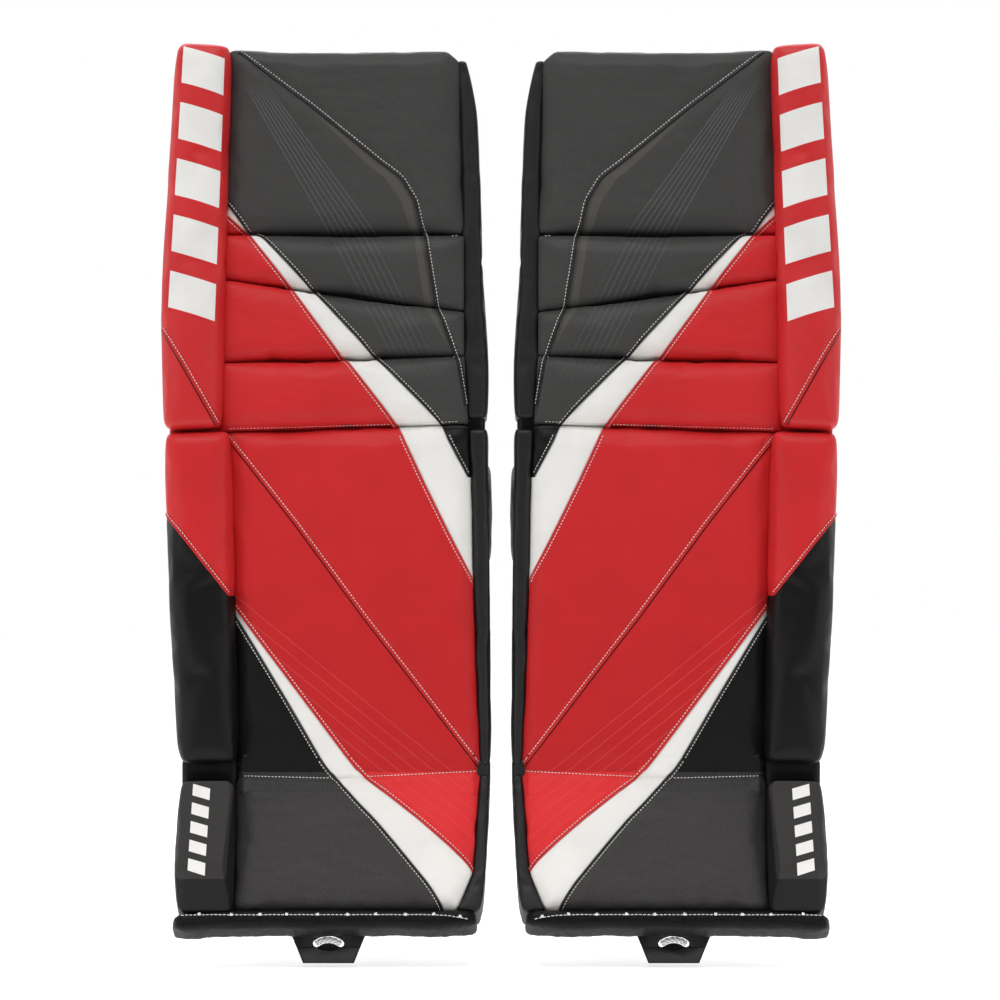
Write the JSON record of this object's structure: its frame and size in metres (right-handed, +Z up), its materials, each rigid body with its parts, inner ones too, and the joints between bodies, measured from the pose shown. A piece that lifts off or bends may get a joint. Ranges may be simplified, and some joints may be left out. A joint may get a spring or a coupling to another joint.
{
  "type": "hockey goalkeeper leg pads",
  "caption": "Mirrored pair of padded leg guards that flex at the knee and boot, with leg channels, wrap-round wings, straps and toe bridges.",
  "frame": {"origin": "middle of the right pad's leg channel, on the axis of the wearer's shin", "axes": "+Z up along the shin; the puck-stopping faces look towards -Y; +X runs from the right pad to the left pad, which is the wearer's right to left"},
  "size_m": [0.5902, 0.256, 0.8028],
  "materials": {
    "red_leather": "smooth red synthetic leather, satin, with a fine grain and embossed lines",
    "black_leather": "smooth black synthetic leather, satin, with a fine grain",
    "foam": "layered closed-cell foam, hidden inside the covers",
    "board": "black nylon over a stiff plastic sheet",
    "liner": "grey brushed knit lining over foam",
    "webbing": "black woven elastic and webbing",
    "bridge_plastic": "black nylon-coated plastic sheet, satin",
    "white_lace": "white waxed braided lace"
  },
  "bodies": {
    "right_shin": {"right_shin_cover": "red_leather", "right_shin_foam": "foam", "right_shin_outer_roll": "red_leather", "right_shin_inner_edge": "black_leather", "right_shin_board": "board", "right_leg_channel": "liner", "right_knee_block": "black_leather", "right_calf_block": "black_leather"},
    "right_thigh": {"right_thigh_cover": "black_leather", "right_thigh_foam": "foam", "right_top_knee_roll": "black_leather", "right_middle_knee_roll": "red_leather", "right_lower_knee_roll": "red_leather", "right_thigh_outer_roll": "red_leather", "right_thigh_inner_edge": "black_leather", "right_thigh_board": "board"},
    "right_knee_wing_flap": {"right_knee_wing": "black_leather", "right_knee_strap": "webbing"},
    "right_calf_wing_flap": {"right_calf_wing": "black_leather", "right_calf_strap": "webbing"},
    "right_boot": {"right_boot_cover": "black_leather", "right_boot_foam": "foam", "right_boot_outer_roll": "black_leather", "right_boot_inner_edge": "black_leather", "right_bottom_roll": "black_leather", "right_edge_lacing": "white_lace", "right_boot_cradle": "liner"},
    "right_boot_strap_loop": {"right_boot_strap": "webbing"},
    "right_toe_bridge_plate": {"right_toe_bridge": "bridge_plastic", "right_toe_lace": "white_lace"},
    "left_shin": {"left_shin_cover": "red_leather", "left_shin_foam": "foam", "left_shin_outer_roll": "red_leather", "left_shin_inner_edge": "black_leather", "left_shin_board": "board", "left_leg_channel": "liner", "left_knee_block": "black_leather", "left_calf_block": "black_leather"},
    "left_thigh": {"left_thigh_cover": "black_leather", "left_thigh_foam": "foam", "left_top_knee_roll": "black_leather", "left_middle_knee_roll": "red_leather", "left_lower_knee_roll": "red_leather", "left_thigh_outer_roll": "red_leather", "left_thigh_inner_edge": "black_leather", "left_thigh_board": "board"},
    "left_knee_wing_flap": {"left_knee_wing": "black_leather", "left_knee_strap": "webbing"},
    "left_calf_wing_flap": {"left_calf_wing": "black_leather", "left_calf_strap": "webbing"},
    "left_boot": {"left_boot_cover": "black_leather", "left_boot_foam": "foam", "left_boot_outer_roll": "black_leather", "left_boot_inner_edge": "black_leather", "left_bottom_roll": "black_leather", "left_edge_lacing": "white_lace", "left_boot_cradle": "liner"},
    "left_boot_strap_loop": {"left_boot_strap": "webbing"},
    "left_toe_bridge_plate": {"left_toe_bridge": "bridge_plastic", "left_toe_lace": "white_lace"}
  },
  "joints": [
    {"name": "pair_spread", "type": "slide", "parent": "right_shin", "child": "left_shin", "axis": [1, 0, 0], "range_m": [0, 0.25]},
    {"name": "right_knee_flex", "type": "hinge", "parent": "right_shin", "child": "right_thigh", "pos_m": [0, -0.113, 0.153], "axis": [1, 0, 0], "range_deg": [-4, 18], "stiffness_Nm_per_rad": 25},
    {"name": "right_boot_flex", "type": "hinge", "parent": "right_shin", "child": "right_boot", "pos_m": [0, -0.113, -0.1486], "axis": [1, 0, 0], "range_deg": [-8, 16], "stiffness_Nm_per_rad": 18},
    {"name": "right_toe_bridge_swing", "type": "hinge", "parent": "right_boot", "child": "right_toe_bridge_plate", "pos_m": [0, -0.13102, -0.28698], "axis": [1, 0, 0], "range_deg": [-30, 50]},
    {"name": "right_knee_wing_open", "type": "hinge", "parent": "right_shin", "child": "right_knee_wing_flap", "pos_m": [-0.071, 0.008, 0.081], "axis": [0, 0, 1], "range_deg": [0, 90]},
    {"name": "right_calf_wing_open", "type": "hinge", "parent": "right_shin", "child": "right_calf_wing_flap", "pos_m": [-0.071, 0.008, -0.0405], "axis": [0, 0, 1], "range_deg": [0, 90]},
    {"name": "right_boot_strap_open", "type": "hinge", "parent": "right_boot", "child": "right_boot_strap_loop", "pos_m": [-0.0801, -0.04797, -0.23601], "axis": [0, 0.342, 0.9397], "range_deg": [0, 90]},
    {"name": "left_knee_flex", "type": "hinge", "parent": "left_shin", "child": "left_thigh", "pos_m": [0.3, -0.113, 0.153], "axis": [1, 0, 0], "range_deg": [-4, 18], "stiffness_Nm_per_rad": 25},
    {"name": "left_boot_flex", "type": "hinge", "parent": "left_shin", "child": "left_boot", "pos_m": [0.3, -0.113, -0.1486], "axis": [1, 0, 0], "range_deg": [-8, 16], "stiffness_Nm_per_rad": 18},
    {"name": "left_toe_bridge_swing", "type": "hinge", "parent": "left_boot", "child": "left_toe_bridge_plate", "pos_m": [0.3, -0.13102, -0.28698], "axis": [1, 0, 0], "range_deg": [-30, 50]},
    {"name": "left_knee_wing_open", "type": "hinge", "parent": "left_shin", "child": "left_knee_wing_flap", "pos_m": [0.371, 0.008, 0.081], "axis": [0, 0, -1], "range_deg": [0, 90]},
    {"name": "left_calf_wing_open", "type": "hinge", "parent": "left_shin", "child": "left_calf_wing_flap", "pos_m": [0.371, 0.008, -0.0405], "axis": [0, 0, -1], "range_deg": [0, 90]},
    {"name": "left_boot_strap_open", "type": "hinge", "parent": "left_boot", "child": "left_boot_strap_loop", "pos_m": [0.3801, -0.04797, -0.23601], "axis": [0, -0.342, -0.9397], "range_deg": [0, 90]}
  ]
}
